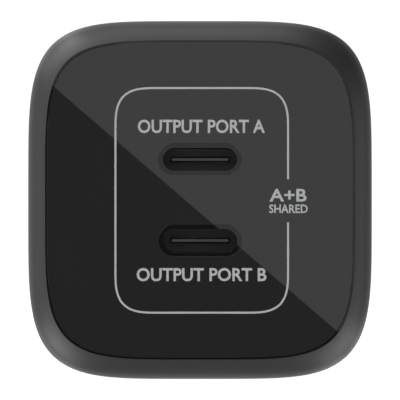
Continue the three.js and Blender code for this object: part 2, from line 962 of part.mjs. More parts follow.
// The barrel is round about the hinge, apart from one square corner whose two flats lie flush with the wall plane:
// one with the blades out, the other with them folded.
function carrier() {
  const flatPastHinge = 0.8;
  const length = [-BARREL_HALF_LENGTH, BARREL_HALF_LENGTH];
  const square = [-flatPastHinge, BARREL_RADIUS];
  const barrel = join(
    alongX(disc(BARREL_RADIUS), length, 24),
    box(length, square, square),
  );
  const flatDepth = 0.4;
  const flat = BARREL_RADIUS - flatDepth;
  const beyond = BARREL_RADIUS + 1;
  return cut(
    join(
      barrel,
      alongX(disc(TRUNNION_RADIUS), [-TRUNNION_END, TRUNNION_END], 10),
    ),
    // detent flats under the middle spring, for the blades out and folded
    box([-2, 2], [-beyond, -flat], [-beyond, beyond]),
    box([-2, 2], [-beyond, beyond], [-beyond, -flat]),
    ...SIDES.flatMap(({ sign }) => {
      const wide = bladeSpan(sign, BLADE_THICKNESS + 2 * MOULDED_GAP);
      const root = ROOT_HALF_WIDTH + MOULDED_GAP;
      const shoulder = BLADE_WIDTH / 2 + MOULDED_GAP;
      return [
        box(wide, [-beyond, beyond], [-root, root]),
        box(wide, [SHOULDER - MOULDED_GAP, beyond], [-shoulder, shoulder]),
      ];
    }),
  );
}

add(plug, "prong_carrier", carrier(), plugPlastic);
for (const { side, sign } of SIDES) {
  add(plug, `${side}_blade`, blade(), nickel, [sign * BLADE_X, 0, 0]);
}

export default charger;
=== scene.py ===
"""A twin-port wall charger with a folding plug: its looks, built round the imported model."""

import math

import bmesh
import bpy
from mathutils import Matrix, Vector
from mathutils.geometry import tessellate_polygon


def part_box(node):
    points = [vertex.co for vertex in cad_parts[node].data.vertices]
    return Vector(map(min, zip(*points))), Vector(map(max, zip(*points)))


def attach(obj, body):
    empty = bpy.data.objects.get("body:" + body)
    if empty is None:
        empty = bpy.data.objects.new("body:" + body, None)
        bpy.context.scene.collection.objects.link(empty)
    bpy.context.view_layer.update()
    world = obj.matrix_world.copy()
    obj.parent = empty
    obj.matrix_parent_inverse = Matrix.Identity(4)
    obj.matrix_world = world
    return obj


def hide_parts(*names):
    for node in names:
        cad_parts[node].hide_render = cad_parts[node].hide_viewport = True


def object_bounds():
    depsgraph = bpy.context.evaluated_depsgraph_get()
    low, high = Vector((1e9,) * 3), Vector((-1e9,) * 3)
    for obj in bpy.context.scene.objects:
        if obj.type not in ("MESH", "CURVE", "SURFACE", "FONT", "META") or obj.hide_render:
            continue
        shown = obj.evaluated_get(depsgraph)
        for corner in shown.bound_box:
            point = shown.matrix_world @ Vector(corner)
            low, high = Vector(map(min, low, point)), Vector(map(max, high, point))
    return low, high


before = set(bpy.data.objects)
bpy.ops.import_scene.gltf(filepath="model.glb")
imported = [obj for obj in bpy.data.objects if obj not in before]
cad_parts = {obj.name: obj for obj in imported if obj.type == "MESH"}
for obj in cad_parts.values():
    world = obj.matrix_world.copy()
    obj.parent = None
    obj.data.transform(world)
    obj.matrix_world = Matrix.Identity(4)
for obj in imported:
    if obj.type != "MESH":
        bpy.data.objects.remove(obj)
cad_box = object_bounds()

# ------------------------------ sleeve
# The body is one moulded sleeve of matt black polycarbonate, a rounded square in section. Its front rim is
# rounded over towards the face plate, which lies in a shallow recess; the rear cover sits in a step behind.

MM = 0.001
sleeve_low, sleeve_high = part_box("main_housing")
body_centre = (sleeve_low + sleeve_high) / 2
half_width = (sleeve_high.x - sleeve_low.x) / 2
half_height = (sleeve_high.z - sleeve_low.z) / 2
squareness = 4.75
outline_points = 288
rim_width_x, rim_width_z = 2.0 * MM, 2.28 * MM
rim_slope = math.radians(28)
rim_steps = 18
rear_radius = 0.9 * MM
wall = 2 * MM
cover_lip = 1.2 * MM
lip_chamfer = 0.1 * MM
cover_step = 2.15 * MM
front = -50 * MM
rim_set_back = 0.06 * MM
recess_mouth = 0.12 * MM
recess_floor = -48.4 * MM
cavity_front = -46.9 * MM
seam = 0.18 * MM
port_pitch = 9.07 * MM
wall_hole = (9.24 * MM, 3.46 * MM)
weld = 1e-7
near_enough = 1e-6


class Formula:
    """A node's socket in arithmetic: each operator adds the Math node that works it out."""

    def __init__(self, graph, socket):
        self.graph = graph
        self.socket = socket

    def math(self, operation, *terms):
        numbered = dict(enumerate(terms))
        return self.graph.node("ShaderNodeMath", {"operation": operation}, numbered)["Value"]

    def __add__(self, other):
        return self.math("ADD", self, other)

    def __radd__(self, other):
        return self.math("ADD", other, self)

    def __sub__(self, other):
        return self.math("SUBTRACT", self, other)

    def __mul__(self, other):
        return self.math("MULTIPLY", self, other)

    def __truediv__(self, other):
        return self.math("DIVIDE", self, other)

    def __rtruediv__(self, other):
        return self.math("DIVIDE", other, self)

    def __pow__(self, other):
        return self.math("POWER", self, other)

    def __mod__(self, other):
        return self.math("FLOORED_MODULO", self, other)

    def __abs__(self):
        return self.math("ABSOLUTE", self)


class Graph:
    """A node tree being built."""

    def __init__(self, tree):
        self.tree = tree

    def node(self, kind, settings=None, values=None):
        """Adds a node: first its settings, then its sockets' values or links, by name or by number."""
        made = self.tree.nodes.new(kind)
        for name, setting in (settings or {}).items():
            setattr(made, name, setting)
        for key, value in (values or {}).items():
            if isinstance(key, int):
                socket = made.inputs[key]
            else:
                socket = next(s for s in made.inputs if s.name == key and s.enabled)
            if isinstance(value, Formula):
                self.tree.links.new(value.socket, socket)
            else:
                socket.default_value = value
        return {s.name: Formula(self, s) for s in reversed(made.outputs) if s.enabled}


def start_tree(name, inputs, output):
    """A geometry tree with named inputs, a finish among them, and one output."""
    tree = bpy.data.node_groups.new(name, "GeometryNodeTree")
    for label, kind in {**inputs, "Finish": "Material"}.items():
        tree.interface.new_socket(label, in_out="INPUT", socket_type="NodeSocket" + kind)
    tree.interface.new_socket(output, in_out="OUTPUT", socket_type="NodeSocketGeometry")
    graph = Graph(tree)
    return graph, graph.node("NodeGroupInput")


def end_tree(graph, given, output, geometry):
    """Realizes what the tree has made, sets its finish and passes it on. Gives the whole tree."""
    real = graph.node("GeometryNodeRealizeInstances", values={"Geometry": geometry})["Geometry"]
    finished = graph.node(
        "GeometryNodeSetMaterial", values={"Geometry": real, "Material": given["Finish"]}
    )["Geometry"]
    graph.node("NodeGroupOutput", values={output: finished})
    return graph.tree


def sweep_tree():
    """Carries a profile round a rounded square. Its points are (inset in x, place along y, inset in z)."""
    graph, given = start_tree(
        "profile round a rounded square",
        {
            "Profile": "Geometry",
            "Half width": "Float",
            "Half height": "Float",
            "Squareness": "Float",
            "Outline points": "Int",
            "Centre height": "Float",
        },
        "Swept",
    )
    stations = graph.node(
        "GeometryNodeAttributeDomainSize", {"component": "MESH"}, {"Geometry": given["Profile"]}
    )["Point Count"]
    grid = graph.node(
        "GeometryNodeMeshGrid",
        values={"Vertices X": given["Outline points"] + 1, "Vertices Y": stations},
    )["Mesh"]
    index = graph.node("GeometryNodeInputIndex")["Index"]
    step = (index / stations).math("FLOOR", index / stations)
    profile = graph.node(
        "GeometryNodeSampleIndex",
        {"data_type": "FLOAT_VECTOR", "domain": "POINT"},
        {
            "Geometry": given["Profile"],
            "Value": graph.node("GeometryNodeInputPosition")["Position"],
            "Index": index % stations,
        },
    )["Value"]
    inset = graph.node("ShaderNodeSeparateXYZ", values={"Vector": profile})
    turn = (step + 0.5) / given["Outline points"] * (2 * math.pi)
    bend = 2 / given["Squareness"]
    across = turn.math("COSINE", turn)
    up = turn.math("SINE", turn)
    reach_x = (given["Half width"] - inset["X"]) * across.math("SIGN", across) * abs(across) ** bend
    reach_z = (given["Half height"] - inset["Z"]) * up.math("SIGN", up) * abs(up) ** bend
    place = graph.node(
        "ShaderNodeCombineXYZ",
        values={"X": reach_x, "Y": inset["Y"], "Z": given["Centre height"] + reach_z},
    )["Vector"]
    swept = graph.node("GeometryNodeSetPosition", values={"Geometry": grid, "Position": place})
    closed = graph.node(
        "GeometryNodeMergeByDistance", values={"Geometry": swept["Geometry"], "Distance": weld}
    )
    return end_tree(graph, given, "Swept", closed["Geometry"])


def added(name, data):
    """A new object in the scene."""
    made = bpy.data.objects.new(name, data)
    bpy.context.scene.collection.objects.link(made)
    return made


def plain_mesh(made, name):
    """What an object's modifiers or letters come to, as a mesh of its own. The object goes."""
    bpy.context.view_layer.update()
    mesh = bpy.data.meshes.new_from_object(made.evaluated_get(bpy.context.evaluated_depsgraph_get()))
    bpy.data.objects.remove(made)
    mesh.name = name
    return mesh


def grown(name, tree, start, finish, **sizes):
    """Runs a geometry tree on a start mesh and keeps the plain mesh that it grows."""
    seed = added(name + " start", start)
    modifier = seed.modifiers.new("grow", "NODES")
    modifier.node_group = tree
    for label, value in {**sizes, "Finish": finish}.items():
        modifier[tree.interface.items_tree[label.replace("_", " ")].identifier] = value
    seed.update_tag()
    mesh = plain_mesh(seed, name)
    mesh.materials.clear()
    mesh.materials.append(finish)
    for face in mesh.polygons:
        face.material_index = 0
    return mesh


def polyline(*points):
    """A mesh of points in a row."""
    mesh = bpy.data.meshes.new("row of points")
    mesh.from_pydata(points, [(i, i + 1) for i in range(len(points) - 1)], [])
    return mesh


def arc(start, end, steps):
    """Angles in degrees, evenly spaced and as radians."""
    return [math.radians(start + (end - start) * i / steps) for i in range(steps + 1)]


def stadium(width, height, y, z):
    """Corners of a slot with round ends, anticlockwise as the ports' side shows it."""
    radius = height / 2
    straight = width / 2 - radius
    steps = 24
    return [
        Vector((side * straight + radius * math.cos(turn), y, z + radius * math.sin(turn)))
        for side, start in ((1, -90), (-1, 90))
        for turn in arc(start, start + 180, steps)
    ]


def loft(bm, loops, closed=False, finishes=0, smooth=True):
    """Joins loops of equally many corners by bands of quads. Gives the first and the last loop's vertices."""
    rings = [[bm.verts.new(p) for p in loop] for loop in loops]
    if closed:
        rings.append(rings[0])
    if isinstance(finishes, int):
        finishes = [finishes] * len(rings)
    for near, far, finish in zip(rings, rings[1:], finishes):
        for i in range(len(near)):
            j = (i + 1) % len(near)
            face = bm.faces.new((near[i], near[j], far[j], far[i]))
            face.smooth = smooth
            face.material_index = finish
    return rings[0], rings[-1]


def fill(bm, *loops, finish=0):
    """Closes a flat opening: the first loop is its outline and the others are holes in it."""
    corners = [v for loop in loops for v in loop]
    for triangle in tessellate_polygon([[v.co for v in loop] for loop in loops]):
        face = bm.faces.new([corners[i] for i in triangle])
        face.smooth = False
        face.material_index = finish


def boundary(bm, y):
    """The open edge loop at one place along y, in order."""
    edges = [
        e for e in bm.edges if e.is_boundary and all(abs(v.co.y - y) < near_enough for v in e.verts)
    ]
    near = {}
    for edge in edges:
        for vert in edge.verts:
            near.setdefault(vert, []).append(edge.other_vert(vert))
    loop = [edges[0].verts[0], edges[0].verts[1]]
    while len(loop) < len(near):
        loop.append(next(v for v in near[loop[-1]] if v is not loop[-2]))
    return loop


def piece(name, mesh, slot, *replaced, body="charger_body", finish=None, sharp=35):
    """Puts a finished mesh into the assembly, for the CAD nodes that it stands for."""
    made = added(name, mesh)
    for material in [finish] if isinstance(finish, bpy.types.Material) else finish or []:
        mesh.materials.append(material)
    flats = [face.index for face in mesh.polygons if not face.use_smooth]
    if sharp:
        mesh.set_sharp_from_angle(angle=math.radians(sharp))
    for index in flats:
        mesh.polygons[index].use_smooth = False
    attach(made, body)
    if replaced:
        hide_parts(*replaced)


def closed_mesh(bm, mesh):
    """Welds a bmesh, turns its faces outwards and writes it to a mesh, or to a new one of that name."""
    if isinstance(mesh, str):
        mesh = bpy.data.meshes.new(mesh)
    bmesh.ops.remove_doubles(bm, verts=bm.verts, dist=weld)
    bmesh.ops.recalc_face_normals(bm, faces=bm.faces)
    bm.to_mesh(mesh)
    bm.free()
    return mesh


def surface(name, **constants):
    """A new material, its graph, and its shader's sockets by name."""
    material = bpy.data.materials.new(name)
    material.use_nodes = True
    graph = Graph(material.node_tree)
    shader = material.node_tree.nodes["Principled BSDF"]
    for label, value in constants.items():
        shader.inputs[label.replace("_", " ")].default_value = value
    return material, graph, shader.inputs


def feed(graph, sockets, **values):
    """Links what varies over the surface to the shader's sockets."""
    for label, value in values.items():
        graph.tree.links.new(value.socket, sockets[label.replace("_", " ")])


def noise(graph, scale, detail=2.0, roughness=0.5, stretch=None):
    """Noise from 0 to 1 on the piece's own coordinates, in cells of 1/scale metres."""
    place = graph.node("ShaderNodeTexCoord")["Object"]
    if stretch:
        place = graph.node("ShaderNodeMapping", values={"Vector": place, "Scale": stretch})["Vector"]
    return graph.node(
        "ShaderNodeTexNoise",
        values={"Vector": place, "Scale": scale, "Detail": detail, "Roughness": roughness},
    )["Fac"]


def blend(graph, factor, dark, light):
    """A colour between two, by a factor."""
    return graph.node(
        "ShaderNodeMix",
        {"data_type": "RGBA"},
        {"Factor": factor, "A": (*dark, 1), "B": (*light, 1)},
    )["Result"]


def bumps(graph, sockets, height, depth):
    """Raises the surface by height times depth."""
    raised = graph.node(
        "ShaderNodeBump", values={"Strength": 1.0, "Distance": depth, "Height": height}
    )
    feed(graph, sockets, Normal=raised["Normal"])


def moulded_plastic(name, colour, roughness, grain=7000, depth=4e-6):
    """Spark-eroded moulded plastic: a fine pebbled grain, with slow drifts of tone and of sheen."""
    material, graph, sockets = surface(name, IOR=1.5)
    drift = noise(graph, 90, 3)
    pebbles = noise(graph, grain, 3, 0.6)
    light = tuple(c * 1.18 for c in colour)
    dark = tuple(c * 0.86 for c in colour)
    tone = blend(graph, drift, dark, light)
    feed(graph, sockets, Base_Color=tone, Roughness=roughness - 0.04 + drift * 0.05 + pebbles * 0.04)
    bumps(graph, sockets, pebbles, depth)
    return material


case_plastic = moulded_plastic("matt black polycarbonate", (0.018, 0.018, 0.0185), 0.44)

rim_radius_x = rim_width_x / (1 - math.sin(rim_slope))
rim_radius_z = rim_width_z / (1 - math.sin(rim_slope))
rim_depth = (rim_radius_x + rim_radius_z) / 2
recess_inset_x = rim_width_x - seam / 2
recess_inset_z = rim_width_z - seam / 2
sleeve_profile = [
    (recess_inset_x, recess_floor, recess_inset_z),
    (recess_inset_x, sleeve_low.y + recess_mouth, recess_inset_z),
]
for slope in arc(math.degrees(rim_slope), 90, rim_steps):
    sleeve_profile.append(
        (
            rim_radius_x * (1 - math.sin(slope)),
            front + rim_set_back + rim_depth * (math.cos(rim_slope) - math.cos(slope)),
            rim_radius_z * (1 - math.sin(slope)),
        )
    )
for turn in arc(0, 90, 8):
    inset = rear_radius * (1 - math.cos(turn))
    sleeve_profile.append((inset, rear_radius * (math.sin(turn) - 1), inset))
for inset, y in (
    (cover_lip - lip_chamfer, 0),
    (cover_lip, -lip_chamfer),
    (cover_lip, -cover_step),
    (wall, -cover_step),
    (wall, cavity_front),
):
    sleeve_profile.append((inset, y, inset))

rounded_square_sweep = sweep_tree()
sleeve_mesh = grown(
    "sleeve",
    rounded_square_sweep,
    polyline(*sleeve_profile),
    case_plastic,
    Half_width=half_width,
    Half_height=half_height,
    Squareness=squareness,
    Outline_points=outline_points,
    Centre_height=body_centre.z,
)
bm = bmesh.new()
bm.from_mesh(sleeve_mesh)
front_wall = [boundary(bm, y) for y in (recess_floor, cavity_front)]
port_heights = [body_centre.z + port_pitch / 2, body_centre.z - port_pitch / 2]
wall_holes = [
    loft(bm, [stadium(*wall_hole, y, z) for y in (recess_floor, cavity_front)]) for z in port_heights
]
for outline, *holes in zip(front_wall, *wall_holes):
    fill(bm, outline, *holes)
piece("sleeve", closed_mesh(bm, sleeve_mesh), "case", "main_housing")

# ------------------------------ face plate
# A thin plate of polished black polycarbonate, glued into the sleeve's recess with a cut film. Its edge is
# stepped down all round, and each port's mouth is set in a sunk ledge of the same gloss. The step and the
# ledges are coloured a far darker black than the plate, as painted shade in these recesses.

plate_low, plate_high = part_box("front_plate")
plate_half_width = (plate_high.x - plate_low.x) / 2
plate_half_height = (plate_high.z - plate_low.z) / 2
edge_round = 0.07 * MM
ledge_round = 0.03 * MM
mouth_round = 0.025 * MM
edge_overlap = 0.15 * MM
step_x, step_z = edge_overlap + 0.02 * MM, edge_overlap + 0.07 * MM
edge_sink = 0.3 * MM
ledge_size = (9.25 * MM, 3.53 * MM)
ledge_depth = 0.4 * MM
mouth_size = (8.27 * MM, 2.55 * MM)


def polished_plastic(name, colour, roughness, sheen):
    """Polished moulding: the faint haze and hairlines of handling show only in its sheen."""
    material, graph, sockets = surface(name, IOR=1.5, Specular_IOR_Level=sheen)
    haze = noise(graph, 160, 4, 0.65)
    hairs = noise(graph, 900, 2, 0.5, stretch=(1, 1, 14))
    tone = blend(graph, haze, colour, tuple(c * 1.15 for c in colour))
    feed(graph, sockets, Base_Color=tone, Roughness=roughness + haze * 0.006 + hairs * 0.003)
    return material


def rounded_slot(size, radius, y, z, steps, flare=1):
    """Loops of a slot's rounded front edge, which opens towards the front, or narrows for a flare of -1."""
    return [
        stadium(
            *[side + 2 * flare * radius * (1 - math.sin(turn)) for side in size],
            y + radius * (1 - math.cos(turn)),
            z,
        )
        for turn in arc(0, 90, steps)
    ]


plate_gloss = polished_plastic("polished black polycarbonate", (0.0112, 0.0112, 0.0113), 0.005, 0.5)
# Painted shade: the step round the plate's edge and the ledge round each port are coloured a far darker black
# (0.0010) than the plate (0.0112), to stand for the shade in these recesses.
recess_shade_gloss = polished_plastic("polished black ledge", (0.0010, 0.0010, 0.0010), 0.005, 0.45)

plate_profile = []
for turn in arc(0, 90, 5):
    inset = edge_round * (1 - math.sin(turn))
    y = plate_low.y + edge_round * (1 - math.cos(turn))
    plate_profile.append((step_x + inset, y, step_z + inset))
for inset_x, inset_z, y in (
    (step_x, step_z, plate_low.y + edge_sink),
    (0, 0, plate_low.y + edge_sink),
    (0, 0, plate_high.y - edge_round),
    (edge_round, edge_round, plate_high.y),
):
    plate_profile.append((inset_x, y, inset_z))
plate_mesh = grown(
    "face plate",
    rounded_square_sweep,
    polyline(*plate_profile),
    plate_gloss,
    Half_width=plate_half_width + edge_overlap,
    Half_height=plate_half_height + edge_overlap,
    Squareness=squareness,
    Outline_points=outline_points,
    Centre_height=body_centre.z,
)
bm = bmesh.new()
bm.from_mesh(plate_mesh)
# The flat of the step round the plate's edge takes the darker black, as painted shade in the seam.
for face in bm.faces:
    middle = face.calc_center_median()
    if abs(middle.y - plate_low.y - edge_sink) < near_enough:
        face.material_index = 1
        face.smooth = False
fronts, backs = [boundary(bm, plate_low.y)], [boundary(bm, plate_high.y)]
ledge_y = plate_low.y + ledge_depth
for z in port_heights:
    rounding = rounded_slot(ledge_size, ledge_round, plate_low.y, z, 4)
    opening, _ = loft(bm, rounding + [stadium(*ledge_size, ledge_y, z)])
    mouth = rounded_slot(mouth_size, mouth_round, ledge_y, z, 3)
    # The ledge's flat takes the darker black, as painted shade in the recess round the mouth.
    loft(bm, [stadium(*ledge_size, ledge_y, z), mouth[0]], finishes=1, smooth=False)
    _, back = loft(bm, mouth + [stadium(*mouth_size, plate_high.y, z)])
    fronts.append(opening)
    backs.append(back)
fill(bm, *fronts)
fill(bm, *backs)
plate_mesh.materials.append(recess_shade_gloss)
piece("face_plate", closed_mesh(bm, plate_mesh), "face_plate", "front_plate")

# ------------------------------ port receptacles
# Each type-C receptacle is a drawn stainless tube, plated dark, round a dark resin insulator. The insulator's
# tongue carries a steel mid-plate, whose edge shows at its tip, and a row of gilt contacts on either face.
# The insulator's block is coloured a lighter grey than its black tongue, as painted light at the back of the
# deep port, and the gilt is coloured darker than plated gold, as painted shade inside the port.

shell_outside = (8.94 * MM, 3.16 * MM)
shell_inside = (8.34 * MM, 2.56 * MM)
shell_lip = 0.1 * MM
tongue_width, tongue_thickness = 6.69 * MM, 0.7 * MM
tongue_corner = 0.15 * MM
tip_chamfer = 0.2 * MM
tip_width = tongue_width - 0.35 * MM
tip_corner = 0.05 * MM
block_length = 2 * MM
block_size = tuple(side - 0.1 * MM for side in shell_inside)
block_corner = 1.2 * MM
mid_plate_size = (6.30 * MM, 0.26 * MM)
mid_plate_corner = 0.08 * MM
mid_plate_proud = 0.03 * MM
contact_pitch = 0.5 * MM
contact_size = (0.25 * MM, 3.4 * MM, 0.016 * MM)
contact_set_back = 1.1 * MM


def brushed_metal(name, colour, roughness, along="Y", fineness=6000):
    """Plated or plain metal with fine drawing lines along one axis."""
    material, graph, sockets = surface(name, Metallic=1.0)
    stretch = [1.0, 1.0, 1.0]
    stretch["XYZ".index(along)] = 0.03
    lines = noise(graph, fineness, 3, 0.6, stretch)
    drift = noise(graph, 140, 3)
    tone = blend(graph, drift, tuple(c * 0.9 for c in colour), colour)
    feed(graph, sockets, Base_Color=tone, Roughness=roughness - 0.05 + lines * 0.1 + drift * 0.04)
    bumps(graph, sockets, lines, 1.5e-6)
    return material


shell_steel = brushed_metal("dark-plated stainless tube", (0.30, 0.30, 0.305), 0.5)
mid_plate_steel = brushed_metal("dulled steel mid-plate", (0.075, 0.075, 0.077), 0.45, "X")
# Painted light: the insulator resin is a dark grey made lighter than the black tongue resin, so that the back
# of the deep port shows bright. The mouldings inside share this grey.
insulator = moulded_plastic("dark grey insulator resin", (0.078, 0.078, 0.079), 0.5, 9000, 2e-6)
tongue_resin = moulded_plastic("black tongue resin", (0.014, 0.014, 0.015), 0.5, 9000, 2e-6)
# Painted shade: the gold is coloured about half as bright as plated gold, to stand for the shade deep in the
# port.
shade_darkened_gold = brushed_metal("gold-plated contact", (0.50, 0.36, 0.16), 0.35)


def contact_tree():
    """Two rows of plated pads: on a tongue's upper and lower face, or along a chip's two sides."""
    graph, given = start_tree(
        "two rows of contacts",
        {"Size": "Vector", "Step": "Vector", "Count": "Int", "Middle": "Vector", "Row offset": "Vector"},
        "Contacts",
    )
    vector_math = "ShaderNodeVectorMath"
    half_run = graph.node(
        vector_math, {"operation": "SCALE"}, {0: given["Step"], "Scale": (given["Count"] - 1) * 0.5}
    )["Vector"]
    row_start = graph.node(
        vector_math, {"operation": "SUBTRACT"}, {0: given["Middle"], 1: half_run}
    )["Vector"]
    both = graph.tree.nodes.new("GeometryNodeJoinGeometry")
    for side in ("ADD", "SUBTRACT"):
        start = graph.node(vector_math, {"operation": side}, {0: row_start, 1: given["Row offset"]})
        row = graph.node(
            "GeometryNodeMeshLine",
            {"mode": "OFFSET"},
            {"Count": given["Count"], "Start Location": start["Vector"], "Offset": given["Step"]},
        )["Mesh"]
        graph.tree.links.new(row.socket, both.inputs[0])
    pad = graph.node("GeometryNodeMeshCube", values={"Size": given["Size"]})["Mesh"]
    placed = graph.node(
        "GeometryNodeInstanceOnPoints",
        values={"Points": Formula(graph, both.outputs[0]), "Instance": pad},
    )["Instances"]
    return end_tree(graph, given, "Contacts", placed)


def rounded_bar(width, height, y, z, radius):
    """Corners of a rectangle with rounded corners, anticlockwise."""
    return [
        Vector(
            (
                right * (width / 2 - radius) + radius * math.cos(turn),
                y,
                z + top * (height / 2 - radius) + radius * math.sin(turn),
            )
        )
        for start, right, top in ((0, 1, 1), (90, -1, 1), (180, -1, -1), (270, 1, -1))
        for turn in arc(start, start + 90, 4)
    ]


def capped_loft(bm, loops):
    """A loft with both its ends closed."""
    for end in loft(bm, loops):
        fill(bm, end)


rows_of_contacts = contact_tree()
for port, z in zip(("upper", "lower"), port_heights):
    shell_low, shell_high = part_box(f"{port}_port_shell")
    tongue_low, tongue_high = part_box(f"{port}_port_tongue")
    bm = bmesh.new()
    outside = rounded_slot(shell_outside, shell_lip, shell_low.y, z, 4, flare=-1)
    inside = rounded_slot(shell_inside, shell_lip, shell_low.y, z, 4)
    back = [stadium(*size, shell_high.y, z) for size in (shell_outside, shell_inside)]
    loft(bm, outside + back + inside[::-1], closed=True)
    shell = closed_mesh(bm, f"{port}_port_tube")
    piece(shell.name, shell, "port_shell", f"{port}_port_shell", finish=shell_steel)

    bm = bmesh.new()
    block_front = tongue_high.y - block_length
    sections = [
        (tip_width, tongue_thickness - 2 * tip_chamfer, tongue_low.y, tip_corner),
        (tongue_width, tongue_thickness, tongue_low.y + tip_chamfer * 1.4, tongue_corner),
        (tongue_width, tongue_thickness, block_front, tongue_corner),
        (*block_size, block_front, block_corner),
        (*block_size, tongue_high.y, block_corner),
    ]
    capped_loft(bm, [rounded_bar(w, h, y, z, r) for w, h, y, r in sections])
    # The block behind the tongue takes the lighter insulator grey, as painted light at the port's back.
    for face in bm.faces:
        if face.calc_center_median().y > block_front - near_enough:
            face.material_index = 1
    tongue = closed_mesh(bm, f"{port}_tongue")
    resins = [tongue_resin, insulator]
    piece(tongue.name, tongue, "moulding", f"{port}_port_tongue", finish=resins)

    bm = bmesh.new()
    plate_ends = (tongue_low.y - mid_plate_proud, tongue_low.y + block_length)
    capped_loft(bm, [rounded_bar(*mid_plate_size, y, z, mid_plate_corner) for y in plate_ends])
    mid_plate = closed_mesh(bm, f"{port}_mid_plate")
    piece(mid_plate.name, mid_plate, "port_shell", finish=mid_plate_steel)

    contacts = grown(
        f"{port}_contacts",
        rows_of_contacts,
        polyline(),
        shade_darkened_gold,
        Size=contact_size,
        Step=(contact_pitch, 0, 0),
        Count=12,
        Middle=(0, tongue_low.y + contact_set_back + contact_size[1] / 2, z),
        Row_offset=(0, 0, tongue_thickness / 2),
    )
    piece(contacts.name, contacts, "port_shell")

# ------------------------------ printed marks
# Pad-printed in light grey ink on the face plate: a line that ties both ports together, broken on its right
# side, with a caption over or under each port and one in the break. The ink stands a few microns proud.

ink_thickness = 0.012 * MM
line_width = 0.22 * MM
line_left, line_right = -9.44 * MM, 9.83 * MM
line_top, line_bottom = 12.5 * MM, -12.58 * MM
line_corner = 4.7 * MM
line_squareness = 3.2
break_top, break_bottom = 2.33 * MM, -2.5 * MM


def ink(name, colour):
    """Screen ink: matt, slightly mottled where the pad laid it thin."""
    material, graph, sockets = surface(name)
    mottle = noise(graph, 2600, 3)
    tone = blend(graph, mottle, tuple(c * 0.93 for c in colour), colour)
    feed(graph, sockets, Base_Color=tone, Roughness=0.5 + mottle * 0.12)
    return material


grey_ink = ink("light grey ink", (0.412, 0.426, 0.432))

centre_line = [Vector((line_right, break_top))]
bend = 2 / line_squareness
for x, z, right, top, start in (
    (line_right, line_top, 1, 1, 0),
    (line_left, line_top, -1, 1, 90),
    (line_left, line_bottom, -1, -1, 180),
    (line_right, line_bottom, 1, -1, 270),
):
    for turn in arc(start, start + 90, 28):
        across, up = abs(math.cos(turn)), abs(math.sin(turn))
        outwards = Vector((right * (across**bend - 1), top * (up**bend - 1)))
        centre_line.append(Vector((x, z)) + outwards * line_corner)
centre_line.append(Vector((line_right, break_bottom)))
ink_top = plate_low.y - ink_thickness
ink_base = plate_low.y + ink_thickness
strip = []
for i, point in enumerate(centre_line):
    along = centre_line[min(i + 1, len(centre_line) - 1)] - centre_line[max(i - 1, 0)]
    across = Vector((-along.y, along.x)).normalized() * line_width / 2
    left, right = point + across, point - across
    corners = ((left, ink_top), (right, ink_top), (right, ink_base), (left, ink_base))
    strip.append([Vector((p.x, y, body_centre.z + p.y)) for p, y in corners])
bm = bmesh.new()
for end in loft(bm, strip):
    bm.faces.new(end)
piece("printed_line", closed_mesh(bm, "printed_line"), "face_plate", finish=grey_ink)


def caption(name, words, width, cap_height, x, z, bold):
    """Printed words, as wide in all and as high as given. Slivers in a letter's face are joined up."""
    letter_weld, sliver_area = 1e-5, 1e-6
    letters = bpy.data.curves.new(name, "FONT")
    letters.body = words
    letters.align_x = "CENTER"
    letters.size = 1
    letters.offset = bold
    letters.extrude = 0.5
    letters.resolution_u = 3
    mesh = plain_mesh(added(name + " outline", letters), name)
    mesh.materials.clear()
    bm = bmesh.new()
    bm.from_mesh(mesh)
    bmesh.ops.remove_doubles(bm, verts=bm.verts, dist=letter_weld)
    slivers = [face for face in bm.faces if face.calc_area() < sliver_area]
    longest = [max(face.edges, key=lambda edge: edge.calc_length()) for face in slivers]
    bmesh.ops.dissolve_edges(bm, edges=list(dict.fromkeys(longest)))
    bmesh.ops.triangulate(bm, faces=bm.faces)
    low = Vector([min(v.co[i] for v in bm.verts) for i in range(3)])
    high = Vector([max(v.co[i] for v in bm.verts) for i in range(3)])
    size = high - low
    scale = Vector((width / size.x, cap_height / size.y, 2 * ink_thickness / size.z))
    for vertex in bm.verts:
        p = (vertex.co - (low + high) / 2) * scale
        vertex.co = Vector((x + p.x, plate_low.y - p.z, body_centre.z + z + p.y))
    piece(name, closed_mesh(bm, mesh), "face_plate", finish=grey_ink)


caption("upper_port_caption", "OUTPUT PORT A", 14.2 * MM, 1.52 * MM, 0.15 * MM, 8.22 * MM, 0.022)
caption("lower_port_caption", "OUTPUT PORT B", 14.5 * MM, 1.50 * MM, 0.17 * MM, -8.33 * MM, 0.022)
caption("shared_power_sum", "A+B", 4.15 * MM, 1.43 * MM, 9.83 * MM, 0.54 * MM, 0.022)
caption("shared_power_caption", "SHARED", 4.3 * MM, 0.98 * MM, 9.87 * MM, -0.98 * MM, 0.018)

# ------------------------------ rear cover
# The cover is moulded in the sleeve's plastic and welded into its rear end. It holds the pockets that the
# plug folds into, with a finger scoop across the blade tips.

cad_weld = 2e-6
flat_angle = math.radians(0.6)


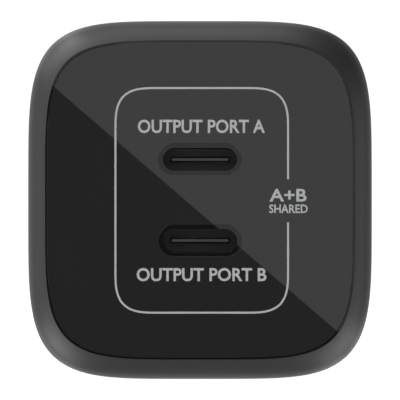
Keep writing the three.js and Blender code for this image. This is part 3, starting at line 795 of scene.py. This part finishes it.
def dressed(name, node, edge, finish, angle=40, segments=3):
    """A copy of a CAD solid as one moulding: welded, its flats made single faces and its edges rounded."""
    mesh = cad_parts[node].data.copy()
    mesh.name = name + " start"
    mesh.materials.clear()
    mesh.materials.append(finish)
    bm = bmesh.new()
    bm.from_mesh(mesh)
    bmesh.ops.remove_doubles(bm, verts=bm.verts, dist=cad_weld)
    bmesh.ops.dissolve_limit(
        bm, angle_limit=flat_angle, verts=bm.verts, edges=bm.edges, delimit={"NORMAL"}
    )
    for face in bm.faces:
        face.smooth = True
        face.material_index = 0
    bm.to_mesh(mesh)
    bm.free()
    made = added(name, mesh)
    bevel = made.modifiers.new("rounded edges", "BEVEL")
    bevel.width = edge
    bevel.segments = segments
    bevel.limit_method = "ANGLE"
    bevel.angle_limit = math.radians(angle)
    bevel.miter_outer = "MITER_ARC"
    made.modifiers.new("flat faces shaded flat", "WEIGHTED_NORMAL")
    return plain_mesh(made, name)


cover_mesh = dressed("rear_moulding", "rear_cover", 0.12 * MM, case_plastic)
piece("rear_moulding", cover_mesh, "case", "rear_cover", sharp=None)

# ------------------------------ folding plug
# Two nickel-plated brass blades are moulded into a nylon carrier, which turns on its two stub shafts. Its two
# flats come flush with the cover when the blades are out and when they are folded.

nylon = moulded_plastic("matt black nylon", (0.024, 0.024, 0.025), 0.5, 6000, 5e-6)
carrier_mesh = dressed("blade_carrier", "prong_carrier", 0.1 * MM, nylon)
piece("blade_carrier", carrier_mesh, "plug_plastic", "prong_carrier", body="folding_plug", sharp=None)


def plated_blade(name):
    """Nickel over brass: bright, with lengthwise drawing lines and rub marks from an outlet's contacts."""
    material, graph, sockets = surface(name, Metallic=1.0)
    lines = noise(graph, 5200, 3, 0.6, stretch=(1, 0.02, 1))
    rubs = noise(graph, 700, 4, 0.7, stretch=(1, 0.12, 1))
    tone = blend(graph, rubs, (0.66, 0.63, 0.57), (0.74, 0.72, 0.68))
    feed(graph, sockets, Base_Color=tone, Roughness=0.14 + lines * 0.12 + rubs * 0.1)
    bumps(graph, sockets, lines, 1.2e-6)
    return material


nickel = plated_blade("nickel-plated brass")
for side in ("left", "right"):
    blade = dressed(f"{side}_plated_blade", f"{side}_blade", 0.16 * MM, nickel, segments=4)
    piece(blade.name, blade, "blade_nickel", f"{side}_blade", body="folding_plug", sharp=None)

# ------------------------------ glue film, keeper, screws and springs
# The film is black and double-sided. A nylon keeper bar closes the hinge's saddles from inside, held by two
# cross-recessed screws. Bronze strips press on the blade roots, and a steel leaf on the carrier's flats.

film = moulded_plastic("black glue film", (0.012, 0.012, 0.012), 0.62, 3000, 6e-6)
bronze = brushed_metal("phosphor bronze strip", (0.70, 0.44, 0.24), 0.3)
spring_steel = brushed_metal("zinc-plated steel", (0.56, 0.56, 0.57), 0.3, "Z")


def cad_look(material, *nodes):
    """Gives CAD solids that are already right in shape their finish."""
    for node in nodes:
        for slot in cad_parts[node].material_slots:
            slot.material = material


cad_look(film, "plate_adhesive")
keeper_mesh = dressed("keeper_bar", "hinge_keeper", 0.12 * MM, nylon)
piece("keeper_bar", keeper_mesh, "plug_plastic", "hinge_keeper")
for node, name, finish, slot in (
    ("left_contact_spring", "left_bronze_strip", bronze, "contact_bronze"),
    ("right_contact_spring", "right_bronze_strip", bronze, "contact_bronze"),
    ("detent_spring", "detent_leaf", spring_steel, "spring_steel"),
):
    piece(name, dressed(name, node, 0.04 * MM, finish, 50, 2), slot, node, sharp=50)


def copies_tree():
    """One thing at every point of a start mesh."""
    graph, given = start_tree("copies at points", {"Points": "Geometry", "Thing": "Object"}, "Copies")
    thing = graph.node(
        "GeometryNodeObjectInfo", {"transform_space": "ORIGINAL"}, {"Object": given["Thing"]}
    )["Geometry"]
    placed = graph.node(
        "GeometryNodeInstanceOnPoints", values={"Points": given["Points"], "Instance": thing}
    )["Instances"]
    return end_tree(graph, given, "Copies", placed)


def full_turn(corners):
    """The angles of a whole turn's corners."""
    return arc(0, 360 - 360 / corners, corners - 1)


def wheel(radius, y, arms=0.0):
    """A circle of corners round the y axis, pinched into a cross where arms is above 0."""
    ring = []
    for turn in full_turn(32):
        reach = radius * (1 - arms * abs(math.sin(2 * turn)) ** 0.6)
        ring.append(Vector((reach * math.cos(turn), y, reach * math.sin(turn))))
    return ring


screw_low, screw_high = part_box("left_keeper_screw")
head_radius = (screw_high.x - screw_low.x) / 2
head_height = 1.3 * MM
screw_length = screw_high.y - screw_low.y
shank_radius, thread_radius = 0.62 * MM, 0.80 * MM
thread_pitch, thread_start, thread_slope = 0.62 * MM, 0.35 * MM, 0.2 * MM
screw_rings = [
    wheel(0.80 * MM, -0.62 * MM, 0.72),
    wheel(0.90 * MM, -1.26 * MM, 0.62),
    wheel(1.15 * MM, -1.28 * MM),
    wheel(1.45 * MM, -1.10 * MM),
    wheel(head_radius, -0.62 * MM),
    wheel(head_radius, 0.0),
    wheel(shank_radius, 0.0),
]
for thread in range(7):
    y = thread_start + thread_pitch * thread
    for step, radius in enumerate((shank_radius, thread_radius, shank_radius)):
        screw_rings.append(wheel(radius, y + thread_slope * step))
screw_rings.append(wheel(0.35 * MM, screw_length - head_height))
bm = bmesh.new()
capped_loft(bm, screw_rings)
screw_pattern = added("screw pattern", closed_mesh(bm, "screw pattern"))
screw_heads = []
for side in ("left", "right"):
    low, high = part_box(f"{side}_keeper_screw")
    screw_heads.append(((low.x + high.x) / 2, low.y + head_height, (low.z + high.z) / 2))
copies_at_points = copies_tree()
screws = grown("keeper_screws", copies_at_points, polyline(*screw_heads), spring_steel, Thing=screw_pattern)
bpy.data.objects.remove(screw_pattern)
piece("keeper_screws", screws, "spring_steel", "left_keeper_screw", "right_keeper_screw")

# ------------------------------ circuit boards and chips
# Two glass-epoxy boards under green solder mask, joined by a pin block, with an aramid sheet between mains
# and output sides. The chips are black resin with tinned legs, and the hot ones touch a silicone pad.


def circuit_board(name):
    """Solder mask over copper: square patches of it show as a lighter green with a slight rise."""
    material, graph, sockets = surface(name, IOR=1.5)
    place = graph.node("ShaderNodeTexCoord")["Object"]
    cells = graph.node(
        "ShaderNodeTexVoronoi",
        {"feature": "DISTANCE_TO_EDGE"},
        {"Vector": place, "Scale": 420.0, "Randomness": 0.75},
    )["Distance"]
    trace = cells.math("GREATER_THAN", cells, 0.07)
    weave = noise(graph, 2600, 2)
    tone = blend(graph, trace, (0.008, 0.045, 0.022), (0.016, 0.095, 0.045))
    feed(graph, sockets, Base_Color=tone, Roughness=0.3 + weave * 0.12)
    bumps(graph, sockets, trace * 0.7 + weave * 0.3, 2e-5)
    return material


cad_look(circuit_board("green solder mask"), "port_board", "main_board")
cad_look(moulded_plastic("insulating aramid", (0.74, 0.70, 0.60), 0.7, 1800, 1.2e-5), "insulation_barrier")
cad_look(moulded_plastic("silicone gap pad", (0.30, 0.33, 0.37), 0.8, 900, 2e-5), "thermal_pad")
cad_look(brushed_metal("plain aluminium sheet", (0.72, 0.72, 0.73), 0.38, "Y", 3000), "heat_spreader")
resin = moulded_plastic("chip resin", (0.022, 0.022, 0.024), 0.55, 5200, 5e-6)
tin = brushed_metal("tinned leg", (0.70, 0.70, 0.69), 0.32)
leg_width, leg_thickness, leg_length = 0.3 * MM, 0.12 * MM, 0.5 * MM
leg_pitch, leg_rise, leg_reach = 0.65 * MM, 0.07 * MM, 0.15 * MM
for node in (
    "upper_port_controller",
    "lower_port_controller",
    "bridge_rectifier",
    "power_switch",
    "sync_rectifier",
):
    name = node + "_chip"
    piece(name, dressed(name, node, 0.1 * MM, resin), "chip_resin", node)
    low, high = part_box(node)
    middle, half = (low + high) / 2, (high - low) / 2
    if half.z > half.y:
        leg_size = (leg_width, leg_thickness, leg_length)
        middle.y = high.y - leg_rise
        row_offset = (0, 0, half.z + leg_reach)
    else:
        leg_size = (leg_width, leg_length, leg_thickness)
        middle.z = high.z - leg_rise
        row_offset = (0, half.y + leg_reach, 0)
    legs = grown(
        node + "_legs",
        rows_of_contacts,
        polyline(),
        tin,
        Size=leg_size,
        Step=(leg_pitch, 0, 0),
        Count=6,
        Middle=middle,
        Row_offset=row_offset,
    )
    piece(legs.name, legs, "chip_resin")
cad_look(insulator, "board_link")

# ------------------------------ wound parts
# The choke is a ferrite ring wound with enamelled wire on both sides and stands on a base. The transformer's
# two ferrite halves close round a bobbin, wound with wire and wrapped in yellow polyester tape.


def fired_ferrite(name):
    """Sintered ferrite: dark grey, dry, with a fine speckle and small pits."""
    material, graph, sockets = surface(name)
    speckle = noise(graph, 3800, 4, 0.7)
    tone = blend(graph, speckle, (0.028, 0.028, 0.031), (0.075, 0.075, 0.08))
    feed(graph, sockets, Base_Color=tone, Roughness=0.55 + speckle * 0.25)
    bumps(graph, sockets, speckle, 1.2e-5)
    return material


ferrite = fired_ferrite("fired ferrite")
enamel = brushed_metal("enamelled copper wire", (0.60, 0.22, 0.09), 0.22, "Y", 2000)
tape = moulded_plastic("yellow polyester tape", (0.72, 0.47, 0.07), 0.3, 700, 1.5e-5)
for node, edge in (
    ("choke_core", 0.3),
    ("transformer_core_lower", 0.2),
    ("transformer_core_upper", 0.2),
    ("upper_port_inductor", 0.35),
    ("lower_port_inductor", 0.35),
):
    name = node + "_ferrite"
    piece(name, dressed(name, node, edge * MM, ferrite), "ferrite", node)
wrap = dressed("wrapped_winding", "transformer_winding", 0.15 * MM, tape)
piece("wrapped_winding", wrap, "tape_film", "transformer_winding")
cad_look(insulator, "choke_base", "transformer_bobbin")


def winding_tree():
    """Wire wound round a sector of a ring that stands on edge, each turn a squared loop about its section."""
    graph, given = start_tree(
        "wire round a ring",
        {
            "Centre": "Vector",
            "Ring radius": "Float",
            "Turn reach": "Float",
            "Turn depth": "Float",
            "Wire radius": "Float",
            "Turns": "Int",
            "Start angle": "Float",
            "Sector": "Float",
        },
        "Wire",
    )
    corners_each_turn = 24
    squared = 0.45
    count = given["Turns"] * corners_each_turn
    line = graph.node("GeometryNodeMeshLine", values={"Count": count})["Mesh"]
    index = graph.node("GeometryNodeInputIndex")["Index"]
    loop = index / corners_each_turn * (2 * math.pi)
    round_ring = given["Start angle"] + given["Sector"] * index / count
    out = loop.math("COSINE", loop)
    side = loop.math("SINE", loop)
    reach = given["Ring radius"] + given["Turn reach"] * out.math("SIGN", out) * abs(out) ** squared
    place = graph.node(
        "ShaderNodeCombineXYZ",
        values={
            "X": reach * round_ring.math("COSINE", round_ring),
            "Y": given["Turn depth"] * side.math("SIGN", side) * abs(side) ** squared,
            "Z": reach * round_ring.math("SINE", round_ring),
        },
    )["Vector"]
    centred = graph.node("ShaderNodeVectorMath", {"operation": "ADD"}, {0: place, 1: given["Centre"]})
    path = graph.node(
        "GeometryNodeSetPosition", values={"Geometry": line, "Position": centred["Vector"]}
    )
    curve = graph.node("GeometryNodeMeshToCurve", values={"Mesh": path["Geometry"]})["Curve"]
    section = graph.node(
        "GeometryNodeCurvePrimitiveCircle", values={"Resolution": 8, "Radius": given["Wire radius"]}
    )["Curve"]
    wire = graph.node(
        "GeometryNodeCurveToMesh", values={"Curve": curve, "Profile Curve": section, "Fill Caps": True}
    )["Mesh"]
    return end_tree(graph, given, "Wire", wire)


wire_round_ring = winding_tree()
core_low, core_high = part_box("choke_core")
for side, start in (("left", 118), ("right", -62)):
    wire = grown(
        f"{side}_choke_wire",
        wire_round_ring,
        polyline(),
        enamel,
        Centre=(core_low + core_high) / 2,
        Ring_radius=4.3 * MM,
        Turn_reach=1.82 * MM,
        Turn_depth=2.82 * MM,
        Wire_radius=0.33 * MM,
        Turns=9,
        Start_angle=math.radians(start),
        Sector=math.radians(124),
    )
    for face in wire.polygons:
        face.use_smooth = True
    piece(wire.name, wire, "copper_wire", f"choke_winding_{side}", sharp=60)

# ------------------------------ capacitors, varistor and fuse
# The bulk capacitors are aluminium cans in a dark shrink sleeve, and the output ones are bare. The film
# capacitor is cast in a yellow box, the discs are dipped in blue epoxy, and the fuse is a ceramic tube.

shrink = moulded_plastic("dark shrink sleeve", (0.030, 0.034, 0.050), 0.3, 1500, 5e-6)
can_metal = brushed_metal("bare aluminium can", (0.80, 0.80, 0.81), 0.28, "Z", 2600)
epoxy = moulded_plastic("blue epoxy coat", (0.035, 0.15, 0.42), 0.28, 260, 6e-5)
film_case = moulded_plastic("yellow film-capacitor case", (0.62, 0.48, 0.05), 0.45, 2600, 8e-6)


def can(name, node, axis, bands, slot):
    """A turned can in a CAD solid's place: bands of (radius, height, finish) in mm, heights from its foot."""
    low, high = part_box(node)
    foot = (low + high) / 2
    turn = Matrix.Identity(3)
    if axis == "Y":
        foot.y = high.y
        turn = Matrix.Rotation(math.radians(90), 3, "X")
    else:
        foot.z = low.z
    rings = [
        [foot + turn @ Vector((radius * math.cos(t), radius * math.sin(t), height)) * MM for t in round_turns]
        for radius, height, _ in bands
    ]
    finishes = [finish for _, _, finish in bands]
    bm = bmesh.new()
    foot_ring, top_ring = loft(bm, rings, finishes=finishes[1:])
    fill(bm, foot_ring, finish=finishes[0])
    fill(bm, top_ring, finish=finishes[-1])
    piece(name, closed_mesh(bm, name), slot, node, finish=[shrink, can_metal], sharp=40)


round_turns = full_turn(48)
bulk_bands = [
    (4.3, 0.25, 1), (4.5, 0.0, 1), (4.85, 0.15, 0), (5.0, 0.5, 0), (5.0, 2.4, 0), (4.72, 2.8, 0),
    (4.66, 3.0, 0), (4.72, 3.2, 0), (5.0, 3.6, 0), (5.0, 23.5, 0), (4.88, 23.85, 0), (4.6, 24.0, 0),
    (4.3, 23.95, 0), (4.2, 23.8, 0), (4.15, 23.65, 1), (0.25, 23.6, 1),
]  # fmt: skip
for place in ("front", "rear"):
    can(f"{place}_bulk_can", f"bulk_capacitor_{place}", "Z", bulk_bands, "capacitor_sleeve")
output_bands = [
    (2.7, 0.1, 0), (2.9, 0.0, 0), (3.05, 0.3, 0), (3.05, 0.8, 1), (2.85, 1.1, 1), (2.8, 1.3, 1),
    (2.85, 1.5, 1), (3.1, 1.9, 1), (3.1, 5.2, 1), (2.95, 5.5, 1), (2.7, 5.6, 1), (0.2, 5.55, 1),
]  # fmt: skip
for number in (1, 2, 3, 4):
    can(f"output_can_{number}", f"output_capacitor_{number}", "Y", output_bands, "polymer_can")
for node, name, edge, finish, slot in (
    ("x_capacitor", "film_capacitor_box", 0.4, film_case, "film_box"),
    ("surge_varistor", "varistor_disc", 1.1, epoxy, "disc_coating"),
    ("y_capacitor", "safety_capacitor_disc", 0.9, epoxy, "disc_coating"),
):
    piece(name, dressed(name, node, edge * MM, finish, segments=5), slot, node)


def ceramic_fuse(name, node):
    """A white ceramic tube, capped in tinned brass at both ends."""
    low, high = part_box(node)
    material, graph, sockets = surface(name)
    tube_share = 0.6
    place = graph.node("ShaderNodeTexCoord")["Object"]
    along = graph.node("ShaderNodeSeparateXYZ", values={"Vector": place})["X"]
    from_middle = abs(along - (low.x + high.x) / 2)
    cap = from_middle.math("GREATER_THAN", from_middle, (high.x - low.x) / 2 * tube_share)
    glaze = noise(graph, 1200, 3)
    tone = blend(graph, cap, (0.72, 0.69, 0.60), (0.66, 0.65, 0.62))
    feed(graph, sockets, Base_Color=tone, Metallic=cap, Roughness=0.26 + glaze * 0.2)
    return material


fuse_finish = ceramic_fuse("capped ceramic tube", "fuse")
fuse_mesh = dressed("ceramic_fuse", "fuse", 0.25 * MM, fuse_finish)
piece("ceramic_fuse", fuse_mesh, "fuse_ceramic", "fuse")

# ------------------------------ studio
# A pale floor and backdrop in one sweep, which glows so that it stays even. A ring of soft lights shapes the
# rim and the sides, and a small lit card in front is what the polished plate mirrors.

floor_material, graph, sockets = surface("pale paper", Roughness=0.9)
sockets["Base Color"].default_value = (0.32, 0.32, 0.32, 1)
sockets["Emission Color"].default_value = (1, 1, 1, 1)
sockets["Emission Strength"].default_value = 1.0
floor_height = cad_box[0].z - 0.2 * MM
body_middle_y = -25 * MM
rings = [
    [
        Vector((radius * math.cos(t), body_middle_y + radius * math.sin(t), floor_height + height))
        for t in round_turns
    ]
    for radius, height in ((0.0, 0.0), (1.6, 0.0), (1.9, 0.08), (2.0, 0.4), (2.0, 2.5))
]
bm = bmesh.new()
loft(bm, rings)
bmesh.ops.remove_doubles(bm, verts=bm.verts, dist=near_enough)
paper_mesh = bpy.data.meshes.new("paper_sweep")
bm.to_mesh(paper_mesh)
bm.free()
paper_mesh.materials.append(floor_material)
paper = added("paper_sweep", paper_mesh)
paper.visible_diffuse = False
paper.visible_glossy = False
paper.visible_shadow = False

world = bpy.data.worlds.new("studio air")
bpy.context.scene.world = world
world.use_nodes = True
background = world.node_tree.nodes["Background"].inputs
background["Color"].default_value = (1, 1, 1, 1)
background["Strength"].default_value = 0.15


def area_light(name, size, power):
    """A rectangular light that the camera doesn't see."""
    light = bpy.data.lights.new(name, "AREA")
    light.shape = "RECTANGLE"
    light.size, light.size_y = size
    light.energy = power
    made = added(name, light)
    made.visible_camera = False
    return made


def soft_box(name, azimuth, tilt, distance, size, power):
    """A light that faces the charger: azimuth from +X, anticlockwise from the ports' side, tilt forwards."""
    a, t = math.radians(azimuth), math.radians(tilt)
    outwards = Vector((math.cos(a) * math.cos(t), -math.sin(t), math.sin(a) * math.cos(t)))
    across = Vector((-math.sin(a), 0, math.cos(a)))
    along = outwards.cross(across)
    facing = Matrix((across, along, outwards)).transposed().to_4x4()
    box = area_light(name, size, power)
    box.matrix_world = Matrix.Translation(light_target + outwards * distance) @ facing


light_target = Vector((0, -45 * MM, body_centre.z))
ring_distance, fill_distance = 0.5, 0.6
side_tilt, side_size = 12.5, (0.12, 0.5)
rear_tilt, rear_size = -35, (0.12, 0.45)
fill_tilt, fill_size, fill_power = 80, (0.1, 0.1), 0.056
ring_lights = (
    (0, 0.264, 0.015), (90, 0.607, 0.111), (120, 1.361, 0.327), (135, 0.48, 0.03), (150, 0.587, 0.188),
    (180, 0.262, 0.064), (210, 0.727, 0.16), (225, 0.935, 0.069), (240, 0.398, 0.198),
    (270, 0, 0.077), (300, 0.509, 0.243), (315, 0.627, 0.06), (330, 0.717, 0.212),
)  # fmt: skip
for azimuth, side_power, rear_power in ring_lights:
    if side_power:
        soft_box(f"side light {azimuth}", azimuth, side_tilt, ring_distance, side_size, side_power)
    soft_box(f"rear light {azimuth}", azimuth, rear_tilt, ring_distance, rear_size, rear_power)
soft_box("large light behind", 90, -90, ring_distance, (1.2, 1.2), 1.5)
for azimuth in range(0, 360, 45):
    soft_box(f"front fill {azimuth}", azimuth, fill_tilt, fill_distance, fill_size, fill_power)

camera_distance = 0.6
card_distance = 0.2
card_radiance = 0.78
card_edge = -1.09 * MM
card_slant = math.radians(40.8)
spread = 1 + card_distance / camera_distance
card_length, card_height = 52 * MM * spread, 30 * MM * spread
card_power = card_radiance * math.pi * card_length * card_height
card = area_light("mirrored card", (card_length, card_height), card_power)
card_up = Vector((math.sin(card_slant), 0, math.cos(card_slant)))
card_middle = card_up * (card_edge * spread + card_height / 2)
card.location = Vector((0, plate_low.y - card_distance, body_centre.z)) + card_middle
card.rotation_euler = (
    Matrix.Rotation(card_slant, 4, "Y") @ Matrix.Rotation(math.radians(90), 4, "X")
).to_euler()

# ------------------------------ camera
# Square on to the face plate, at the middle of the body, through a long lens. The body is widest a little
# behind the plate, so the frame's width is measured there.

frame_width = 44.88 * MM
widest_behind_plate = 3 * MM
camera_data = bpy.data.cameras.new("camera")
camera = added("camera", camera_data)
bpy.context.scene.camera = camera
camera.location = (0, plate_low.y - camera_distance, body_centre.z)
camera.rotation_euler = (math.radians(90), 0, 0)
camera_data.lens = camera_data.sensor_width * (camera_distance + widest_behind_plate) / frame_width
camera_data.clip_start, camera_data.clip_end = 0.01, 10
bpy.context.scene.view_settings.view_transform = "Standard"
